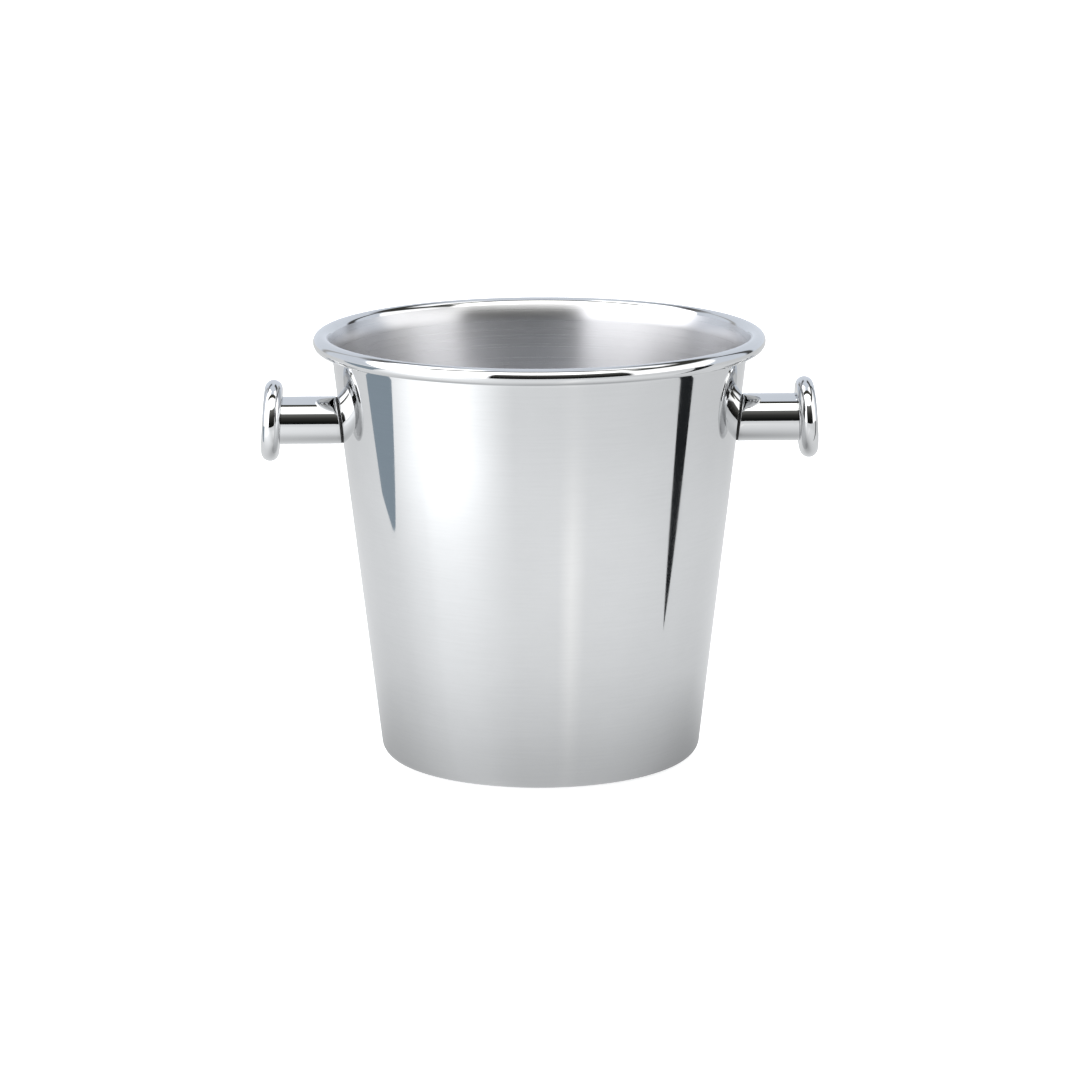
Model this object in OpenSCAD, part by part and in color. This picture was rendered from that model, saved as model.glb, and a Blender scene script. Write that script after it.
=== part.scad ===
// Champagne bucket: a drawn, tapered steel shell with a rolled rim and a knob handle on each side.
// Each handle is a hollow stem and an end disc, drawn against the wall by one screw from inside.
// Origin: centre of the resting ring, on the table. +Z is up and the handles point along X.

/* [Bucket] */
// Overall width over the rolled rim
rim_d = 200; // [190:1:230]
// Overall height
height = 190.5; // [180:0.5:220]
// Outside diameter of the straight wall, continued up to the full height
wall_top_d = 185.6; // [184:0.2:186]
// Outside diameter of the straight wall, continued down to the table
wall_base_d = 141.6; // [130:0.2:160]
// Thickness of the sheet
sheet = 1; // [0.8:0.1:1.2]

/* [Rim] */
// Outside diameter of the rolled bead
bead_d = 7.3; // [6.8:0.1:8]
// Radius of the slow bend that leads the wall into the bead, at mid-sheet
lead_r = 20; // [16:1:45]
// How far the bead is rolled past its lowest point
curl_past = 45; // [20:5:60]

/* [Base] */
// Outside radius of the corner between wall and base
corner_r = 6; // [4:0.5:12]
// Diameter of the raised panel in the middle of the base
panel_d = 104; // [60:2:110]
// Height by which the panel is raised
panel_rise = 1.5; // [0.5:0.25:3]

/* [Handles] */
// Height of the handle axis above the table
handle_z = 151.3; // [130:0.1:158]
// Diameter of the stem
stem_d = 21.2; // [18:0.2:24]
// Diameter of the end disc
disc_d = 36.2; // [30:0.2:40]
// Thickness of the end disc, which is also the width of its round edge
disc_t = 8; // [6:0.2:9]
// Distance of the disc's middle from the bucket's axis
disc_x = 118.6; // [114:0.2:122]
// Lean of the end disc towards the bucket at its top
disc_lean = 4; // [0:0.5:5]
// Thickness of the seal between stem and wall
gasket_t = 0.8; // [0.5:0.1:1.5]

/* [Fixings] */
// Diameter of the handle screw
screw_d = 6; // [5:0.5:6]
// Diameter of the washer and seal inside the bucket
washer_d = 16; // [14:0.5:18]
// Thickness of the washer on the handle axis
washer_t = 2.5; // [2:0.1:4]
// Diameter of the screw's button head
head_d = 10.5; // [9:0.5:12]
// Height of the screw's button head
head_h = 3.3; // [2.5:0.1:4]
// Width of the hexagon socket across its flats
socket_af = 4; // [3:0.5:5]

/* [Hidden] */
$fn = 240;
arc_step = 7.5;

polished = [0.80, 0.81, 0.83];
satin = [0.62, 0.63, 0.65];
black = [0.08, 0.08, 0.09];

// The wall: its lean from the vertical, and unit vectors up along it and out from it, as [r, z]
lean = atan2((wall_top_d - wall_base_d) / 2, height);
along = [sin(lean), cos(lean)];
outward = [cos(lean), -sin(lean)];
sheet_across = sheet / cos(lean);
wall_foot = [wall_base_d / 2, 0];
mid_foot = wall_foot - outward * sheet / 2;

// The bead's centre, and the centre of the lead-in bend, which touches the wall and the bead
bead_mid_r = (bead_d - sheet) / 2;
bead_c = [(rim_d - bead_d) / 2, height - bead_d / 2];
bead_gap = (bead_c - mid_foot) * outward;
lead_out = lead_r - bead_gap;
lead_down = sqrt(pow(lead_r - bead_mid_r, 2) - pow(lead_out, 2));
lead_c = bead_c + outward * lead_out - along * lead_down;
lead_end = atan2(bead_c[1] - lead_c[1], bead_c[0] - lead_c[0]);

// The centre of the corner's arc, which touches the table and the wall
corner_c = [wall_foot[0] + corner_r * tan(lean) - corner_r / cos(lean), corner_r];
panel_slope = 3;

// Along the handle's axis, from the bucket's axis outwards
wall_x = wall_base_d / 2 + handle_z * tan(lean);
washer_x = wall_x - sheet_across - gasket_t - washer_t;
web_end = wall_x + gasket_t + 7;
hole_d = screw_d + 0.6;
spigot_d = stem_d - 5;
spigot_x = web_end + 5;
screw_end = disc_x - disc_t / 2 - 1;
thread_clear = 0.1;
reach = 300;

// Points round centre c, from angle a to angle b
function arc(c, r, a, b) =
  let (steps = ceil(abs(b - a) / arc_step))
  [for (i = [0:steps]) let (t = a + (b - a) * i / steps) c + r * [cos(t), sin(t)]];

function past_first(points) = [for (i = [1:len(points) - 1]) points[i]];
function backwards(points) = [for (i = [len(points) - 1:-1:0]) points[i]];

// One face of the sheet, from the middle of the base to the end of the curl: off is its distance
// from the middle of the sheet, positive towards the outside of the bucket
function sheet_face(off) = concat(
  [[0, panel_rise + sheet / 2 - off], [panel_d / 2, panel_rise + sheet / 2 - off]],
  [[panel_d / 2 + panel_slope, sheet / 2 - off]],
  arc(corner_c, corner_r - sheet / 2 + off, -90, -lean),
  arc(lead_c, lead_r - off, 180 - lean, lead_end),
  past_first(arc(bead_c, bead_mid_r - off, lead_end, -90 - curl_past))
);

// The body of the wall's outer cone, grown sideways
module cone_body(grow) {
  cylinder(h = height, r1 = wall_base_d / 2 + grow, r2 = wall_top_d / 2 + grow);
}

// A round bar along the handle's axis, from x0 to x1
module bar(d, x0, x1) {
  translate([x0, 0, handle_z]) rotate([0, 90, 0]) cylinder(d = d, h = x1 - x0);
}

// Puts a child made at the disc's middle, standing on Z, into the disc's leaning place
module at_disc() {
  translate([disc_x, 0, handle_z]) rotate([0, 90 - disc_lean, 0]) children();
}

module bucket_shell() {
  color(satin) difference() {
    rotate_extrude() polygon(concat(sheet_face(sheet / 2), backwards(sheet_face(-sheet / 2))));
    bar(hole_d, -reach, reach);
  }
}

// The stem: its root follows the wall, and its bore is wide from the end to a web near the root
module handle_stem() {
  color(polished) difference() {
    bar(stem_d, wall_x - stem_d / 2, disc_x);
    cone_body(gasket_t);
    at_disc() translate([0, 0, -disc_t / 2]) cylinder(d = 2 * stem_d, h = reach);
    bar(hole_d, 0, reach);
    bar(spigot_d, web_end, reach);
  }
}

// The end disc: a round-edged disc, and a spigot in the stem that takes the screw's thread
module handle_disc() {
  edge_r = disc_t / 2;
  color(polished) difference() {
    union() {
      at_disc() rotate_extrude() {
        translate([0, -edge_r]) square([disc_d / 2 - edge_r, disc_t]);
        translate([disc_d / 2 - edge_r, 0]) intersection() {
          circle(r = edge_r);
          translate([0, -edge_r]) square([edge_r, disc_t]);
        }
      }
      bar(spigot_d, spigot_x, disc_x);
    }
    bar(screw_d, 0, screw_end + 1);
  }
}

// The rubber seal between the stem and the outside of the wall
module handle_gasket() {
  color(black) difference() {
    intersection() {
      cone_body(gasket_t);
      bar(stem_d - 0.6, wall_x - stem_d / 2, reach);
    }
    cone_body(0);
    bar(hole_d, 0, reach);
  }
}

// The rubber seal on the inside of the wall
module inner_seal() {
  color(black) difference() {
    intersection() {
      cone_body(-sheet_across);
      bar(washer_d, washer_x, reach);
    }
    cone_body(-sheet_across - gasket_t);
    bar(hole_d, 0, reach);
  }
}

// The washer that turns the sloping, curved wall into a flat seat for the screw's head
module saddle_washer() {
  color(polished) difference() {
    intersection() {
      cone_body(-sheet_across - gasket_t);
      bar(washer_d, washer_x, reach);
    }
    bar(hole_d, 0, reach);
  }
}

// The button-head screw, whose thread is drawn as a plain cylinder
module handle_screw() {
  dome_r = (pow(head_h, 2) + pow(head_d / 2, 2)) / (2 * head_h);
  color(polished) difference() {
    union() {
      intersection() {
        translate([washer_x - head_h + dome_r, 0, handle_z]) sphere(r = dome_r);
        bar(head_d + 1, washer_x - head_h - 1, washer_x);
      }
      bar(screw_d - thread_clear, washer_x - 1, screw_end);
    }
    translate([washer_x - head_h - 1, 0, handle_z]) rotate([0, 90, 0])
      cylinder(d = socket_af / cos(30), h = 3, $fn = 6);
  }
}

module left() {
  mirror([1, 0, 0]) children();
}

bucket_shell();
left() handle_stem();  // left_handle_stem
left() handle_disc();  // left_handle_disc
left() handle_gasket();  // left_handle_gasket
left() inner_seal();  // left_inner_seal
left() saddle_washer();  // left_saddle_washer
left() handle_screw();  // left_handle_screw
handle_stem();  // right_handle_stem
handle_disc();  // right_handle_disc
handle_gasket();  // right_handle_gasket
inner_seal();  // right_inner_seal
saddle_washer();  // right_saddle_washer
handle_screw();  // right_handle_screw
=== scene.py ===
"""The champagne bucket's looks: a lathed steel shell with a rolled rim, and two knob handles.

Every piece stands for the CAD node of the same name. Lengths are in metres, in the frame of the CAD
model: +Z is up, the handles point along X, and the camera looks along +Y. Angles given as settings are in
degrees, apart from LEAN and DISC_LEAN, which are in radians.
"""
import math

import bmesh
import bpy
from mathutils import Matrix, Vector


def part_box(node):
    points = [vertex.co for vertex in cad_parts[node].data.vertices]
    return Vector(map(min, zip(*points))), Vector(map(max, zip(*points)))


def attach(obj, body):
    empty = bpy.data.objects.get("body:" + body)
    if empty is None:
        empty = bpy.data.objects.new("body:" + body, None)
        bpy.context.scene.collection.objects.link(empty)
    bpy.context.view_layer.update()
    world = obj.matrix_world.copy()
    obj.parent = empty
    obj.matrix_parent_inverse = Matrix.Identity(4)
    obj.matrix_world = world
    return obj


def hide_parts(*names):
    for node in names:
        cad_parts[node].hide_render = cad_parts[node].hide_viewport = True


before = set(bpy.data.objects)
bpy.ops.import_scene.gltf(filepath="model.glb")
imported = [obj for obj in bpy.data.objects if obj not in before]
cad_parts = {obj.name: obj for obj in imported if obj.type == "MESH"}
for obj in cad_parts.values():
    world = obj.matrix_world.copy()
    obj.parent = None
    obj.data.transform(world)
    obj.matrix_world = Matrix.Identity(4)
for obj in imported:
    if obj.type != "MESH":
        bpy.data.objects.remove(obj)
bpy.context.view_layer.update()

MM = 0.001
SIDES = ("left", "right")

# The bucket's section, as drawn in the CAD model
SHELL_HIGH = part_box("bucket_shell")[1]
HEIGHT = SHELL_HIGH.z
RIM_R = SHELL_HIGH.x
SHEET = 1.0 * MM
WALL_FOOT_R = 70.8 * MM
WALL_TOP_R = 92.8 * MM
BEAD_R = 3.65 * MM
LEAD_R = 20.0 * MM
CURL_PAST = 45.0
CORNER_R = 6.0 * MM
PANEL_R = 52.0 * MM
PANEL_RISE = 1.5 * MM
PANEL_SLOPE = 3.0 * MM
# The satin inside ends where the sheet has turned this far up from facing the axis
SATIN_TILT = 28.0

LEAN = math.atan2(WALL_TOP_R - WALL_FOOT_R, HEIGHT)
SHEET_ACROSS = SHEET / math.cos(LEAN)

# The handles, from the right-hand nodes. The left side is the same, turned half round
STEM_LOW, STEM_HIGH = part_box("right_handle_stem")
DISC_LOW, DISC_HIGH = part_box("right_handle_disc")
GASKET_LOW, GASKET_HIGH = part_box("right_handle_gasket")
WASHER_LOW, WASHER_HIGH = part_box("right_saddle_washer")
SCREW_LOW, SCREW_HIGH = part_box("right_handle_screw")
HANDLE_Z = (STEM_LOW.z + STEM_HIGH.z) / 2
STEM_R = (STEM_HIGH.z - STEM_LOW.z) / 2
GASKET_R = (GASKET_HIGH.z - GASKET_LOW.z) / 2
WASHER_R = (WASHER_HIGH.z - WASHER_LOW.z) / 2
WASHER_X = WASHER_LOW.x
HEAD_X = SCREW_LOW.x
SCREW_END = SCREW_HIGH.x
DISC_R = (DISC_HIGH.y - DISC_LOW.y) / 2
DISC_LEAN = math.radians(4.0)
DISC_EDGE_R = 4.0 * MM
DISC_X = 118.6 * MM
GASKET_T = 0.8 * MM
HOLE_R = 3.3 * MM
SCREW_R = 2.95 * MM
THREAD_PITCH = 1.0 * MM
THREAD_DEPTH = 0.45 * MM
SPIGOT_R = STEM_R - 2.5 * MM
WALL_X = WALL_FOOT_R + HANDLE_Z * math.tan(LEAN)
WEB_END = WALL_X + GASKET_T + 7.0 * MM
SPIGOT_X = WEB_END + 5.0 * MM
SOCKET_AF = 4.0 * MM
SOCKET_DEPTH = 2.0 * MM
SOFT_EDGE = 0.35 * MM

SHELL_TURNS = 288
HANDLE_TURNS = 120

STEEL = (0.71, 0.715, 0.72)

# The lit table. Each list pairs a place on the wall with the light that its mirror image on the table
# gives: by turn, in degrees from the front of the wall, or by height, in millimetres up the wall
TABLE_TINT = (0.985, 1.0, 1.015, 1.0)
# The colour of the painted streak of warm light on the table
WARM_LIGHT_TINT = (1.0, 0.95, 0.88, 1.0)
# Levels by height, with painted shade that darkens the table's glow close to the bucket's foot
LEVEL_AND_FOOT_SHADE_BY_HEIGHT = [(0, 0.60), (20, 0.74), (45, 0.87), (75, 0.93), (115, 0.94), (150, 0.89), (175, 0.84)]
LEVEL_BY_TURN = [(-90, 0.88), (-58, 0.93), (-40, 1.0), (25, 0.99), (50, 0.93), (65, 0.88), (90, 0.88)]
# Painted shade at the bucket's foot, deeper to the sides
FOOT_SHADE_BY_TURN = [(-90, 0.70), (-60, 0.92), (-45, 1.0), (25, 1.0), (45, 0.90), (65, 0.62), (90, 0.70)]
# A painted pool of white light on the table, on the left
LIGHT_POOL_BY_TURN = [(-52, 0.0), (-38, 0.85), (-33, 1.0), (-25, 0.96), (-17, 0.5), (-8, 0.0)]
LIGHT_POOL_BY_HEIGHT = [(0, 0.10), (20, 0.12), (48, 0.17), (85, 0.25), (118, 0.42), (145, 0.80), (175, 0.9)]
# A painted streak of warm light on the table, in front
WARM_LIGHT_BY_TURN = [(5, 0.0), (8.5, 1.0), (10, 1.0), (14, 0.0)]
WARM_LIGHT_BY_HEIGHT = [(0, 0.03), (20, 0.07), (48, 0.16), (85, 0.26), (118, 0.20), (150, 0.07), (175, 0.04)]
HIGHEST_MM = 200.0
# How far up the wall's image the painted shade at the foot reaches
FOOT_SHADE_MM = 40.0

# The cards that lie on the table
BLACK_CARD = [(0.214, -0.0615), (2.4, -0.391), (2.4, 0.204)]
BLUE_CARD = [(-1.5, -0.24), (-0.378, 0.006), (-0.362, 0.010), (-0.357, 0.018), (-0.361, 0.028),
             (-0.382, 0.051), (-0.414, 0.090), (-1.5, 0.70)]

# The room's panels, painted in turn over the backdrop: colour, softness of the edges, and angles spanned.
# The last panel, the dark room in front, has a colour that grows lighter upwards
BACKDROP = (0.77, 0.82, 0.90)
PANELS = [
    ((2.5, 2.5, 2.55), 3.0, {"azimuth": (-140, -22), "elevation": (-90, 75), "rise": (-90, 120)}),
    ((1.6, 1.6, 1.6), 3.0, {"azimuth": (42, 130), "elevation": (-90, 75), "rise": (-90, 120)}),
    ((2.2, 2.2, 2.15), 2.0, {"azimuth": (-95, 95), "elevation": (40, 91), "rise": (30, 80)}),
    ((0.05, 0.05, 0.045), 5.0, {"azimuth": (57, 165), "elevation": (40, 54)}),
    ((0.10, 0.10, 0.10), 6.0, {"azimuth": (-170, -122), "elevation": (39, 49)}),
    ((0.08, 0.08, 0.08), 3.0, {"azimuth": (127, 135), "elevation": (-5, 45)}),
    ((0.45, 0.45, 0.45), 4.0, {"azimuth": (-143, -137), "elevation": (-5, 45)}),
    ((0.05, 0.05, 0.04), 1.5, {"rise": (78, 90), "elevation": (50, 91)}),
    (None, 3.0, {"azimuth": (-27, 46), "elevation": (-91, 40)}),
]
DARK_LOW, DARK_HIGH = -20.0, 40.0
DARK_COLOURS = [(0.0, (0.006, 0.007, 0.008)), (0.35, (0.010, 0.011, 0.010)),
                (0.65, (0.045, 0.045, 0.042)), (1.0, (0.20, 0.20, 0.19))]


# ---------------------------------------------------------------- meshes

def arc(centre, radius, start, end, step=5.0):
    """Points round a centre in the plane of the section, from angle start to angle end."""
    count = max(2, math.ceil(abs(end - start) / step))
    points = []
    for i in range(count + 1):
        t = math.radians(start + (end - start) * i / count)
        points.append((centre[0] + radius * math.cos(t), centre[1] + radius * math.sin(t)))
    return points


def line(start, end, step):
    """Points between two ends, without the ends: close to each end, and about step apart between."""
    margin = 0.4 * MM
    length = math.dist(start, end)
    count = max(1, round((length - 2 * margin) / step))
    along = [margin + (length - 2 * margin) * i / count for i in range(count + 1)]
    return [(start[0] + (end[0] - start[0]) * a / length,
             start[1] + (end[1] - start[1]) * a / length) for a in along]


def skin(name, rings, materials, material_of=None, wrap=False):
    """A piece whose surface joins the rings in turn. A ring of one point is a pole, and wrap joins
    the last ring to the first. material_of holds one index for each gap between rings."""
    bm = bmesh.new()
    made = [[bm.verts.new(p) for p in ring] for ring in rings]
    turns = max(len(ring) for ring in rings)
    pairs = list(zip(made, made[1:]))
    if wrap:
        pairs.append((made[-1], made[0]))
    for gap, (a, b) in enumerate(pairs):
        for j in range(turns):
            k = (j + 1) % turns
            corners = [a[j % len(a)], a[k % len(a)], b[k % len(b)], b[j % len(b)]]
            unique = list(dict.fromkeys(corners))
            face = bm.faces.new(unique)
            face.smooth = True
            face.material_index = material_of[gap] if material_of else 0
    bmesh.ops.recalc_face_normals(bm, faces=bm.faces)
    mesh = bpy.data.meshes.new(name)
    bm.to_mesh(mesh)
    bm.free()
    mesh.set_sharp_from_angle(angle=math.radians(40))
    for material in materials:
        mesh.materials.append(material)
    piece = bpy.data.objects.new(name, mesh)
    bpy.context.scene.collection.objects.link(piece)
    return piece


def place(piece, node):
    """Rides the piece on the only body, in place of the CAD node of the same name."""
    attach(piece, "root")
    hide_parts(node)


# ---------------------------------------------------------------- the shell

def sheet_face(off):
    """Pairs of section point and stretch name along one face of the sheet, from the middle of the base
    to the end of the curl. off is the distance from the middle of the sheet, outwards."""
    up = (math.sin(LEAN), math.cos(LEAN))
    out = (math.cos(LEAN), -math.sin(LEAN))
    lean = math.degrees(LEAN)
    bead_mid_r = BEAD_R - SHEET / 2
    bead = (RIM_R - BEAD_R, HEIGHT - BEAD_R)
    mid_foot = (WALL_FOOT_R - out[0] * SHEET / 2, -out[1] * SHEET / 2)
    bead_gap = (bead[0] - mid_foot[0]) * out[0] + (bead[1] - mid_foot[1]) * out[1]
    lead_out = LEAD_R - bead_gap
    lead_down = math.sqrt((LEAD_R - bead_mid_r) ** 2 - lead_out ** 2)
    lead = (bead[0] + out[0] * lead_out - up[0] * lead_down,
            bead[1] + out[1] * lead_out - up[1] * lead_down)
    lead_end = math.degrees(math.atan2(bead[1] - lead[1], bead[0] - lead[0]))
    corner = (WALL_FOOT_R + CORNER_R * math.tan(LEAN) - CORNER_R / math.cos(LEAN), CORNER_R)
    low = SHEET / 2 - off

    panel_edge = (PANEL_R, low + PANEL_RISE)
    panel_foot = (PANEL_R + PANEL_SLOPE, low)
    corner_arc = arc(corner, CORNER_R - SHEET / 2 + off, -90, -lean)
    lead_arc = arc(lead, LEAD_R - off, 180 - lean, lead_end, 2.5)
    bead_arc = arc(bead, bead_mid_r - off, lead_end, -90 - CURL_PAST, 5)

    named = [((0.0, low + PANEL_RISE), "base")]
    named += [(p, "base") for p in line(named[0][0], panel_edge, 8 * MM)]
    named += [(p, "base") for p in (panel_edge, *line(panel_edge, panel_foot, 1 * MM), panel_foot)]
    named += [(p, "base") for p in line(panel_foot, corner_arc[0], 4 * MM)]
    named += [(p, "wall") for p in corner_arc]
    named += [(p, "wall") for p in line(corner_arc[-1], lead_arc[0], 4 * MM)]
    for centre, points in ((lead, lead_arc), (bead, bead_arc[1:])):
        for p in points:
            angle = math.degrees(math.atan2(p[1] - centre[1], p[0] - centre[0]))
            named.append((p, "wall" if angle > 180 - SATIN_TILT else "bead"))
    return named


def bucket_shell(mirror, satin, underside):
    """The drawn sheet: polished outside and over the bead, satin inside and under the base."""
    outside = sheet_face(SHEET / 2)
    inside = sheet_face(-SHEET / 2)[::-1]
    finish = {("outside", "base"): 2, ("outside", "wall"): 0, ("outside", "bead"): 0,
              ("inside", "bead"): 0, ("inside", "wall"): 1, ("inside", "base"): 1}
    rings = []
    material_of = []
    for face, points in (("outside", outside), ("inside", inside)):
        for (r, z), stretch in points:
            turns = [2 * math.pi * j / SHELL_TURNS for j in range(SHELL_TURNS)] if r > 0 else [0.0]
            rings.append([Vector((r * math.cos(t), r * math.sin(t), z)) for t in turns])
            material_of.append(finish[face, stretch])
    piece = skin("bucket_shell_steel", rings, [mirror, satin, underside], material_of)
    drill(piece)
    return piece


def drill(piece):
    """Cuts the two holes for the handle screws through the wall."""
    turns = [2 * math.pi * j / 48 for j in range(48)]
    rings = [[Vector((x, 0, HANDLE_Z))] if r == 0 else
             [Vector((x, r * math.cos(t), HANDLE_Z + r * math.sin(t))) for t in turns]
             for x, r in ((-RIM_R, 0), (-RIM_R, HOLE_R), (RIM_R, HOLE_R), (RIM_R, 0))]
    cutter = skin("drill", rings, [])
    cut = piece.modifiers.new("holes", "BOOLEAN")
    cut.operation = "DIFFERENCE"
    cut.solver = "EXACT"
    cut.object = cutter
    cut_mesh = bpy.data.meshes.new_from_object(piece.evaluated_get(bpy.context.evaluated_depsgraph_get()))
    piece.modifiers.clear()
    piece.data = cut_mesh
    bpy.data.objects.remove(cutter)


# ---------------------------------------------------------------- the handles

def cone_x(y, z, grow):
    """Where a line along X through y and z meets the outside of the wall, grown sideways."""
    radius = WALL_FOOT_R + z * math.tan(LEAN) + grow
    return math.sqrt(radius ** 2 - y ** 2)


def disc_plane_x(z, depth):
    """Where a line along X at height z meets the plane that lies depth outwards from the disc's middle."""
    return DISC_X + (depth - (z - HANDLE_Z) * math.sin(DISC_LEAN)) / math.cos(DISC_LEAN)


def ring(radius, x_at, side):
    """A ring round the handle's axis. x_at gives x from y and z. The left side is turned half round."""
    flip = -1 if side == "left" else 1
    if radius == 0:
        return [Vector((flip * x_at(0, HANDLE_Z), 0, HANDLE_Z))]
    points = []
    for j in range(HANDLE_TURNS):
        t = 2 * math.pi * j / HANDLE_TURNS
        y = radius * math.cos(t)
        z = HANDLE_Z + radius * math.sin(t)
        points.append(Vector((flip * x_at(y, z), flip * y, z)))
    return points


def sleeve(name, side, outer, inner, root, tip, material):
    """A tube round the handle's axis between two end surfaces, with its outer edges softened.
    root and tip give x from y and z."""
    soft = SOFT_EDGE
    step = 2 * MM
    section = []
    for k in (0, 30, 60, 90):
        t = math.radians(k)
        lift = soft * (1 - math.cos(t))
        section.append((outer - soft + soft * math.sin(t), lambda y, z, a=lift: root(y, z) + a))
    length = tip(0, HANDLE_Z) - root(0, HANDLE_Z)
    count = max(2, round(length / step))
    for i in range(1, count):
        share = i / count
        section.append((outer, lambda y, z, s=share:
                        (root(y, z) + soft) * (1 - s) + (tip(y, z) - soft) * s))
    for k in (90, 60, 30, 0):
        t = math.radians(k)
        lift = soft * (1 - math.cos(t))
        section.append((outer - soft + soft * math.sin(t), lambda y, z, a=lift: tip(y, z) - a))
    section.append((outer - 2 * soft, tip))
    section.append((inner, tip))
    section.append((inner, root))
    section.append((outer - 2 * soft, root))
    rings = [ring(radius, x_at, side) for radius, x_at in section]
    return skin(name, rings, [material], wrap=True)


def handle_stem(side, steel):
    """The stem, with its root on the seal and its tip against the leaning disc. It is hollow from the
    tip to a web near the root."""
    soft = SOFT_EDGE

    def root(y, z):
        """The end that lies on the gasket."""
        return cone_x(y, z, GASKET_T)

    def tip(y, z):
        """The end that lies on the back of the disc."""
        return disc_plane_x(z, -DISC_EDGE_R)

    section = []
    for k in (0, 22.5, 45, 67.5, 90):
        t = math.radians(k)
        lift = soft * (1 - math.cos(t))
        section.append((STEM_R - soft + soft * math.sin(t), lambda y, z, a=lift: root(y, z) + a))
    for i in range(1, 16):
        share = i / 16
        section.append((STEM_R, lambda y, z, s=share: (root(y, z) + soft) * (1 - s) + tip(y, z) * s))
    section.append((STEM_R, lambda y, z: tip(y, z) - soft / 2))
    section.append((STEM_R - soft / 2, tip))
    section.append((SPIGOT_R, tip))
    section.append((SPIGOT_R, lambda y, z: WEB_END))
    section.append((HOLE_R, lambda y, z: WEB_END))
    section.append((HOLE_R, root))
    section.append((STEM_R - 3 * soft, root))
    rings = [ring(radius, x_at, side) for radius, x_at in section]
    return skin(f"{side}_handle_stem_steel", rings, [steel], wrap=True)


def handle_disc(side, steel):
    """The leaning, round-edged disc, and behind it the spigot that takes the screw."""
    flip = -1 if side == "left" else 1
    lean = Matrix.Rotation(math.pi / 2 - DISC_LEAN, 4, "Y")
    centre = Vector((DISC_X, 0, HANDLE_Z))
    flat_r = DISC_R - DISC_EDGE_R
    profile = [(0.0, DISC_EDGE_R)]
    profile += line((0.0, DISC_EDGE_R), (flat_r, DISC_EDGE_R), 3 * MM)
    profile += arc((flat_r, 0.0), DISC_EDGE_R, 90, -90, 5)
    profile += line((flat_r, -DISC_EDGE_R), (STEM_R, -DISC_EDGE_R), 1 * MM)
    rings = []
    for radius, height in profile:
        turns = [2 * math.pi * j / HANDLE_TURNS for j in range(HANDLE_TURNS)] if radius > 0 else [0.0]
        flat = [Vector((radius * -math.sin(t), radius * math.cos(t), height)) for t in turns]
        points = [centre + lean @ p for p in flat]
        rings.append([Vector((flip * p.x, flip * p.y, p.z)) for p in points])
    bore_r = SCREW_R + 0.05 * MM
    bore_end = SCREW_END + 1 * MM
    behind = [(SPIGOT_R, lambda y, z: disc_plane_x(z, -DISC_EDGE_R)),
              (SPIGOT_R, lambda y, z: SPIGOT_X + SOFT_EDGE),
              (SPIGOT_R - SOFT_EDGE, lambda y, z: SPIGOT_X),
              (bore_r, lambda y, z: SPIGOT_X),
              (bore_r, lambda y, z: bore_end),
              (0, lambda y, z: bore_end)]
    rings += [ring(radius, x_at, side) for radius, x_at in behind]
    return skin(f"{side}_handle_disc_steel", rings, [steel])


def handle_gasket(side, rubber):
    """The seal between the stem and the outside of the wall."""
    return sleeve(f"{side}_handle_gasket_rubber", side, GASKET_R, HOLE_R,
                  lambda y, z: cone_x(y, z, 0), lambda y, z: cone_x(y, z, GASKET_T), rubber)


def inner_seal(side, rubber):
    """The seal on the inside of the wall."""
    return sleeve(f"{side}_inner_seal_rubber", side, WASHER_R, HOLE_R,
                  lambda y, z: cone_x(y, z, -SHEET_ACROSS - GASKET_T),
                  lambda y, z: cone_x(y, z, -SHEET_ACROSS), rubber)


def saddle_washer(side, steel):
    """The washer that turns the sloping, curved wall into a flat seat."""
    return sleeve(f"{side}_saddle_washer_steel", side, WASHER_R, HOLE_R,
                  lambda y, z: WASHER_X, lambda y, z: cone_x(y, z, -SHEET_ACROSS - GASKET_T), steel)


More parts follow.
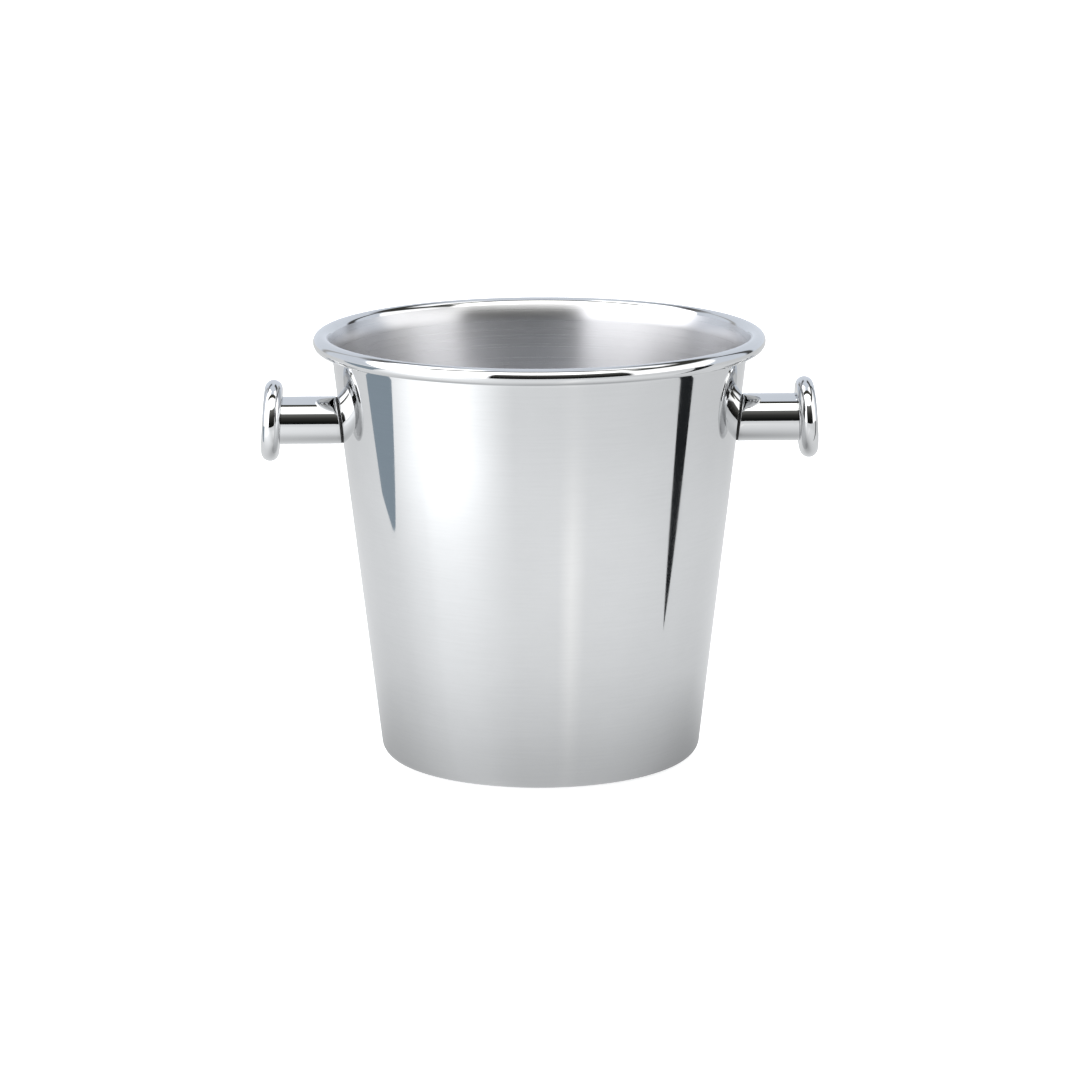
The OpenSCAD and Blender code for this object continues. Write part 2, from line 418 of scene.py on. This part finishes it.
def handle_screw(side, steel):
    """The button-head screw, with a hexagon socket and a cut thread."""
    flip = -1 if side == "left" else 1
    head_h = WASHER_X - HEAD_X
    head_r = 5.25 * MM
    dome_r = (head_h ** 2 + head_r ** 2) / (2 * head_h)
    socket_r = SOCKET_AF / 2
    socket_edge = 0.15 * MM

    def hexagon(t):
        """The socket's radius at angle t."""
        return socket_r / math.cos((t + math.pi / 6) % (math.pi / 3) - math.pi / 6)

    def points(radius_at, x_of):
        """A ring whose radius depends on the angle, and whose x depends on the radius."""
        made = []
        for j in range(HANDLE_TURNS):
            t = 2 * math.pi * j / HANDLE_TURNS
            r = radius_at(t)
            made.append(Vector((flip * x_of(r), flip * r * math.cos(t), HANDLE_Z + r * math.sin(t))))
        return made

    def dome_x(r):
        """The dome's surface at radius r."""
        return HEAD_X + dome_r - math.sqrt(dome_r ** 2 - r ** 2)

    floor_x = HEAD_X + SOCKET_DEPTH
    rings = [[Vector((flip * floor_x, 0, HANDLE_Z))]]
    rings.append(points(lambda t: hexagon(t) * 0.98, lambda r: floor_x))
    rings.append(points(hexagon, lambda r: floor_x - 0.05 * MM))
    rings.append(points(hexagon, lambda r: dome_x(r) + socket_edge))
    rings.append(points(lambda t: hexagon(t) + socket_edge, dome_x))
    reach = head_r - SOFT_EDGE / 2
    for i in range(1, 11):
        share = i / 10
        rings.append(points(lambda t, s=share: (hexagon(t) + socket_edge) * (1 - s) + reach * s, dome_x))
    rings.append(points(lambda t: head_r, lambda r: WASHER_X - SOFT_EDGE / 2))
    rings.append(points(lambda t: reach, lambda r: WASHER_X))
    rings.append(points(lambda t: SCREW_R, lambda r: WASHER_X))
    steps_a_pitch = 6
    steps = round((SCREW_END - WEB_END) / (THREAD_PITCH / steps_a_pitch))
    for i in range(steps):
        x = WEB_END + (SCREW_END - WEB_END) * i / steps
        fade = min(1.0, i / steps_a_pitch)

        def thread(t, x=x, fade=fade):
            """The thread's radius at angle t, which runs out over the first pitch."""
            wave = abs(((x / THREAD_PITCH - t / (2 * math.pi)) % 1.0) * 2 - 1)
            return SCREW_R - THREAD_DEPTH * fade * wave

        rings.append(points(thread, lambda r, x=x: x))
    rings.append(points(lambda t: SCREW_R - THREAD_DEPTH, lambda r: SCREW_END))
    rings.append([Vector((flip * SCREW_END, 0, HANDLE_Z))])
    return skin(f"{side}_handle_screw_steel", rings, [steel])


# ---------------------------------------------------------------- materials

class Nodes:
    """A short way to write node trees: each call makes a node and links its inputs."""

    def __init__(self, tree):
        self.tree = tree
        self.tree.nodes.clear()

    def add(self, kind, inputs=None, **settings):
        """One node. An input is a value, or a socket to link."""
        node = self.tree.nodes.new(kind)
        for key, value in settings.items():
            setattr(node, key, value)
        for key, value in (inputs or {}).items():
            if isinstance(value, bpy.types.NodeSocket):
                self.tree.links.new(value, node.inputs[key])
            else:
                node.inputs[key].default_value = value
        return node

    def math(self, operation, a, b=0.0, clamp=False):
        """One step of arithmetic on numbers or sockets."""
        node = self.add("ShaderNodeMath", {0: a, 1: b}, operation=operation, use_clamp=clamp)
        return node.outputs["Value"]

    def mix(self, factor, a, b, blend="MIX"):
        """Mixes two colours."""
        node = self.add("ShaderNodeMix", {"Factor": factor, 6: a, 7: b}, data_type="RGBA", blend_type=blend)
        return node.outputs[2]

    def ramp(self, fac, stops, mode="LINEAR"):
        """Turns a number into a grey or a colour. stops are pairs of place and value."""
        node = self.add("ShaderNodeValToRGB", {"Fac": fac})
        node.color_ramp.interpolation = mode
        elements = node.color_ramp.elements
        while len(elements) < len(stops):
            elements.new(0.5)
        for element, (place_at, value) in zip(elements, stops):
            colour = value if isinstance(value, tuple) else (value,) * 3
            element.position = place_at
            element.color = (*colour, 1.0)
        return node.outputs["Color"]


def new_material(name):
    """A material and the short way to write its nodes."""
    material = bpy.data.materials.new(name)
    material.use_nodes = True
    return material, Nodes(material.node_tree)


def shades(tone, darker, lighter):
    """A colour made a little darker or lighter, as the pair of stops for a ramp."""
    return tuple(c * darker for c in tone), tuple(c * lighter for c in tone)


def polished_steel(name, gloss=0.05, waviness=0.02, grain=0.0):
    """Mirror polish: faint wiping marks in the gloss, the slight waves of pressed sheet, and grain, the
    depth of tone of fine level lines that the lathe has left."""
    material, n = new_material(name)
    place_at = n.add("ShaderNodeTexCoord").outputs["Object"]
    level = n.add("ShaderNodeVectorMath", {0: place_at, 1: (0.03, 0.03, 1.0)}, operation="MULTIPLY")
    lines = n.add("ShaderNodeTexNoise", {"Vector": level.outputs["Vector"], "Scale": 1700.0, "Detail": 2.0})
    smudge = n.add("ShaderNodeTexNoise", {"Vector": place_at, "Scale": 38.0, "Detail": 4.0, "Roughness": 0.6})
    rough = n.add("ShaderNodeMapRange", {"Value": smudge.outputs["Fac"], "From Min": 0.35, "From Max": 0.7,
                                         "To Min": gloss * 0.7, "To Max": gloss * 1.5})
    dull, bright = shades(STEEL, 0.985, 1.01)
    wiped = n.ramp(smudge.outputs["Fac"], [(0.35, bright), (0.7, dull)])
    lined = n.ramp(lines.outputs["Fac"], [(0.3, 1.0 - grain), (0.7, 1.0)])
    tint = n.mix(1.0, wiped, lined, "MULTIPLY")
    waves = n.add("ShaderNodeTexNoise", {"Vector": place_at, "Scale": 16.0, "Detail": 1.0})
    bump = n.add("ShaderNodeBump", {"Height": waves.outputs["Fac"], "Strength": waviness,
                                    "Distance": 0.2 * MM})
    shader = n.add("ShaderNodeBsdfPrincipled", {"Base Color": tint, "Roughness": rough.outputs["Result"],
                                                "Normal": bump.outputs["Normal"], "Metallic": 1.0})
    n.add("ShaderNodeOutputMaterial", {"Surface": shader.outputs["BSDF"]})
    return material


def brushed_steel(name, tone, gloss, lines, axis="Z"):
    """Satin finish turned on a lathe: fine lines round an axis, which spread a highlight across them."""
    material, n = new_material(name)
    place_at = n.add("ShaderNodeTexCoord").outputs["Object"]
    parts = n.add("ShaderNodeSeparateXYZ", {"Vector": place_at})
    keep = (0.0, 0.0, 1.0) if axis == "X" else (1.0, 1.0, 0.0)
    across = n.add("ShaderNodeVectorMath", {0: place_at, 1: keep}, operation="MULTIPLY")
    radius = n.add("ShaderNodeVectorMath", {0: across.outputs["Vector"]}, operation="LENGTH")
    turned = n.add("ShaderNodeCombineXYZ", {"X": radius.outputs["Value"], "Z": parts.outputs[axis]})
    grain = n.add("ShaderNodeTexNoise", {"Vector": turned.outputs["Vector"], "Scale": lines, "Detail": 3.0,
                                         "Roughness": 0.7})
    mottle = n.add("ShaderNodeTexNoise", {"Vector": place_at, "Scale": 30.0, "Detail": 3.0})
    rough = n.add("ShaderNodeMapRange", {"Value": grain.outputs["Fac"], "From Min": 0.3, "From Max": 0.7,
                                         "To Min": gloss * 0.85, "To Max": gloss * 1.15})
    mixed = n.math("ADD", grain.outputs["Fac"], mottle.outputs["Fac"])
    dull, bright = shades(tone, 0.96, 1.04)
    tint = n.ramp(mixed, [(0.6, dull), (1.0, bright)])
    bump = n.add("ShaderNodeBump", {"Height": grain.outputs["Fac"], "Strength": 0.03, "Distance": 0.05 * MM})
    tangent = n.add("ShaderNodeTangent", direction_type="RADIAL", axis=axis)
    shader = n.add("ShaderNodeBsdfPrincipled", {"Base Color": tint, "Roughness": rough.outputs["Result"],
                                                "Normal": bump.outputs["Normal"], "Metallic": 1.0,
                                                "Anisotropic": 0.6, "Anisotropic Rotation": 0.25,
                                                "Tangent": tangent.outputs["Tangent"]})
    n.add("ShaderNodeOutputMaterial", {"Surface": shader.outputs["BSDF"]})
    return material


def black_rubber(name):
    """Matt rubber with a fine moulded grain."""
    material, n = new_material(name)
    place_at = n.add("ShaderNodeTexCoord").outputs["Object"]
    grain = n.add("ShaderNodeTexNoise", {"Vector": place_at, "Scale": 2500.0, "Detail": 3.0})
    tint = n.ramp(grain.outputs["Fac"], [(0.3, 0.012), (0.7, 0.022)])
    bump = n.add("ShaderNodeBump", {"Height": grain.outputs["Fac"], "Strength": 0.3, "Distance": 0.03 * MM})
    shader = n.add("ShaderNodeBsdfPrincipled", {"Base Color": tint, "Roughness": 0.62,
                                                "Normal": bump.outputs["Normal"]})
    n.add("ShaderNodeOutputMaterial", {"Surface": shader.outputs["BSDF"]})
    return material


# ---------------------------------------------------------------- the studio

def flat_card(name, corners, height, material):
    """A flat stage piece from its corners, seen by the steel and not by the camera."""
    mesh = bpy.data.meshes.new(name)
    mesh.from_pydata([(x, y, height) for x, y in corners], [], [list(range(len(corners)))])
    mesh.materials.append(material)
    card = bpy.data.objects.new(name, mesh)
    bpy.context.scene.collection.objects.link(card)
    card.visible_camera = False
    card.visible_diffuse = False
    card.visible_shadow = False


def glow(name, colour, strength):
    """A plain light colour, for a card."""
    material, n = new_material(name)
    shader = n.add("ShaderNodeEmission", {"Color": (*colour, 1.0), "Strength": strength})
    n.add("ShaderNodeOutputMaterial", {"Surface": shader.outputs["Emission"]})
    return material


def pale_floor():
    """The floor that the camera sees: white, with its own faint glow so that it stays even."""
    material, n = new_material("floor_white")
    diffuse = n.add("ShaderNodeBsdfDiffuse", {"Color": (0.85, 0.85, 0.85, 1.0)})
    light = n.add("ShaderNodeEmission", {"Color": (1.0, 1.0, 1.0, 1.0), "Strength": 0.72})
    both = n.add("ShaderNodeAddShader", {0: diffuse.outputs["BSDF"], 1: light.outputs["Emission"]})
    n.add("ShaderNodeOutputMaterial", {"Surface": both.outputs["Shader"]})
    mesh = bpy.data.meshes.new("floor")
    half = 12.0
    corners = [(-half, -half, 0), (half, -half, 0), (half, half, 0), (-half, half, 0)]
    mesh.from_pydata(corners, [], [[0, 1, 2, 3]])
    mesh.materials.append(material)
    floor = bpy.data.objects.new("floor", mesh)
    bpy.context.scene.collection.objects.link(floor)
    floor.location.z = -1 * MM
    floor.visible_glossy = False
    floor.visible_diffuse = False


def wall_image(n, x, y):
    """Where on the wall a spot of the table is mirrored: the turn round from the front, and the height up
    the wall. It is worked out for the wall's lean and a distant eye in front and a little above. A spot
    lies on a line that leaves the wall at twice the wall's own turn, from the focus on the table's middle
    line. Height is the way along it times a slope, which has a fixed part and one that follows the turn."""
    wall_r = (WALL_FOOT_R + WALL_TOP_R) / 2
    least_cosine = 0.42
    slope_fixed, slope_turning = 0.226, 0.24
    cosine = 1.0
    for _ in range(3):
        focus = n.math("DIVIDE", wall_r / 2, cosine)
        ahead = n.math("SUBTRACT", n.math("MULTIPLY", y, -1.0), focus)
        turn = n.math("MULTIPLY", n.math("ARCTAN2", x, ahead), 0.5)
        cosine = n.math("MAXIMUM", n.math("COSINE", turn), least_cosine)
    away = n.math("SQRT", n.math("ADD", n.math("MULTIPLY", x, x), n.math("MULTIPLY", ahead, ahead)))
    slope = n.math("ADD", n.math("MULTIPLY", cosine, slope_turning), slope_fixed)
    return turn, n.math("MULTIPLY", n.math("SUBTRACT", away, focus), slope)


def table_top():
    """The table as the steel sees it, a glow that is all painted light and shade: pale, with painted shade
    that darkens it near the bucket, a painted pool of white light on the left and a thin, painted streak of
    warm light in front. All of it is laid out by its mirror image on the wall."""
    material, n = new_material("table_pale")
    parts = n.add("ShaderNodeSeparateXYZ", {"Vector": n.add("ShaderNodeTexCoord").outputs["Object"]})
    turn, height = wall_image(n, parts.outputs["X"], parts.outputs["Y"])
    turn_share = n.math("DIVIDE", n.math("ADD", n.math("DEGREES", turn), 90.0), 180.0)
    height_share = n.math("DIVIDE", height, HIGHEST_MM * MM)

    def by_turn(stops):
        """A level that follows the turn, from stops in degrees."""
        return n.ramp(turn_share, [((angle + 90) / 180, level) for angle, level in stops], "B_SPLINE")

    def by_height(stops):
        """A level that follows the height, from stops in millimetres."""
        return n.ramp(height_share, [(up / HIGHEST_MM, level) for up, level in stops], "B_SPLINE")

    base = n.math("MULTIPLY", by_height(LEVEL_AND_FOOT_SHADE_BY_HEIGHT), by_turn(LEVEL_BY_TURN))
    # Painted shade near the bucket's foot: the glow is dimmed low on the wall's image, more to the sides
    lifted = n.math("MULTIPLY", height_share, HIGHEST_MM / FOOT_SHADE_MM)
    foot_shade_share = n.math("SUBTRACT", 1.0, lifted, clamp=True)
    foot = n.math("MULTIPLY", n.math("SUBTRACT", by_turn(FOOT_SHADE_BY_TURN), 1.0), foot_shade_share)
    base = n.math("MULTIPLY", base, n.math("ADD", foot, 1.0))
    # A painted pool of white light, added to the table's glow
    band = n.math("MULTIPLY", by_turn(LIGHT_POOL_BY_TURN), by_height(LIGHT_POOL_BY_HEIGHT))
    # A painted streak of warm light
    streak = n.math("MULTIPLY", by_turn(WARM_LIGHT_BY_TURN), by_height(WARM_LIGHT_BY_HEIGHT))
    pale = n.add("ShaderNodeEmission", {"Color": TABLE_TINT, "Strength": n.math("ADD", base, band)})
    warm = n.add("ShaderNodeEmission", {"Color": WARM_LIGHT_TINT, "Strength": streak})
    both = n.add("ShaderNodeAddShader", {0: pale.outputs["Emission"], 1: warm.outputs["Emission"]})
    n.add("ShaderNodeOutputMaterial", {"Surface": both.outputs["Shader"]})
    half, front, back = 3.0, -0.9, 4.0
    flat_card("table", [(-half, front), (half, front), (half, back), (-half, back)], -0.5 * MM, material)


def floor_cards():
    """Cards lying on the table, which draw the wedges on the bucket's sides."""
    flat_card("black_card", BLACK_CARD, 0.5 * MM, glow("card_black", (0.9, 1.0, 1.1), 0.018))
    flat_card("blue_card", BLUE_CARD, 0.5 * MM, glow("card_blue", (0.76, 0.93, 1.08), 0.38))


def studio_world():
    """The room round the table, painted by direction, and plain white to the camera. Azimuth is 0 in
    front and grows to the right, elevation is 0 level, and rise goes over the top: 90 up, 180 behind."""
    world = bpy.data.worlds.new("studio")
    world.use_nodes = True
    bpy.context.scene.world = world
    n = Nodes(world.node_tree)
    parts = n.add("ShaderNodeSeparateXYZ", {"Vector": n.add("ShaderNodeTexCoord").outputs["Generated"]})
    x, y, z = (parts.outputs[axis] for axis in "XYZ")
    ahead = n.math("MULTIPLY", y, -1.0)
    angles = {"azimuth": n.math("DEGREES", n.math("ARCTAN2", x, ahead)),
              "elevation": n.math("DEGREES", n.math("ARCSINE", z)),
              "rise": n.math("DEGREES", n.math("ARCTAN2", z, ahead))}
    upwards = n.add("ShaderNodeMapRange", {"Value": angles["elevation"],
                                           "From Min": DARK_LOW, "From Max": DARK_HIGH})
    dark = n.ramp(upwards.outputs["Result"], DARK_COLOURS)
    shade = (*BACKDROP, 1.0)
    for colour, soft, spans in PANELS:
        mask = 1.0
        for angle, (low, high) in spans.items():
            for edge, side in ((low, 1.0), (high, -1.0)):
                inside = n.math("MULTIPLY", n.math("SUBTRACT", angles[angle], edge), side / soft)
                mask = n.math("MULTIPLY", mask, n.math("ADD", inside, 0.5, clamp=True))
        shade = n.mix(mask, shade, (*colour, 1.0) if colour else dark)
    seen = n.add("ShaderNodeLightPath").outputs["Is Camera Ray"]
    shown = n.mix(seen, shade, (1.0, 1.0, 1.0, 1.0))
    back = n.add("ShaderNodeBackground", {"Color": shown, "Strength": 1.0})
    n.add("ShaderNodeOutputWorld", {"Surface": back.outputs["Background"]})


def studio():
    """Everything round the bucket: the floor, and what the steel mirrors."""
    pale_floor()
    table_top()
    floor_cards()
    studio_world()
    bpy.context.scene.view_settings.view_transform = "Standard"


def make_camera():
    """A long lens from slightly above and a hair to the left, aimed at the middle of the bucket."""
    distance = 1.8
    raised = math.radians(12.4)
    turned = math.radians(-1.2)
    roll = math.radians(-0.2)
    data = bpy.data.cameras.new("camera")
    data.sensor_width = 36.0
    data.lens = 134.3
    camera = bpy.data.objects.new("camera", data)
    bpy.context.scene.collection.objects.link(camera)
    level = math.cos(raised)
    back = Vector((math.sin(turned) * level, -math.cos(turned) * level, math.sin(raised)))
    aim = Vector((0, 0, HEIGHT / 2 + 0.8 * MM))
    camera.rotation_mode = "QUATERNION"
    camera.location = aim + back * distance
    rolled = Matrix.Rotation(roll, 4, "Z").to_quaternion()
    camera.rotation_quaternion = (-back).to_track_quat("-Z", "Y") @ rolled
    bpy.context.scene.camera = camera


# ---------------------------------------------------------------- the bucket

def build():
    """Makes every piece of the bucket and puts it in place of its CAD node."""
    mirror = polished_steel("shell_mirror", grain=0.02)
    knob_mirror = polished_steel("handle_mirror", gloss=0.035, waviness=0.0)
    satin = brushed_steel("shell_satin", (0.63, 0.63, 0.64), 0.30, 2600.0)
    underside = brushed_steel("shell_underside", (0.6, 0.6, 0.61), 0.28, 500.0)
    turned = brushed_steel("fixing_turned", (0.6, 0.6, 0.61), 0.24, 900.0, axis="X")
    rubber = black_rubber("seal_black")
    place(bucket_shell(mirror, satin, underside), "bucket_shell")
    for side in SIDES:
        place(handle_stem(side, knob_mirror), f"{side}_handle_stem")
        place(handle_disc(side, knob_mirror), f"{side}_handle_disc")
        place(handle_gasket(side, rubber), f"{side}_handle_gasket")
        place(inner_seal(side, rubber), f"{side}_inner_seal")
        place(saddle_washer(side, turned), f"{side}_saddle_washer")
        place(handle_screw(side, turned), f"{side}_handle_screw")


make_camera()
build()
studio()
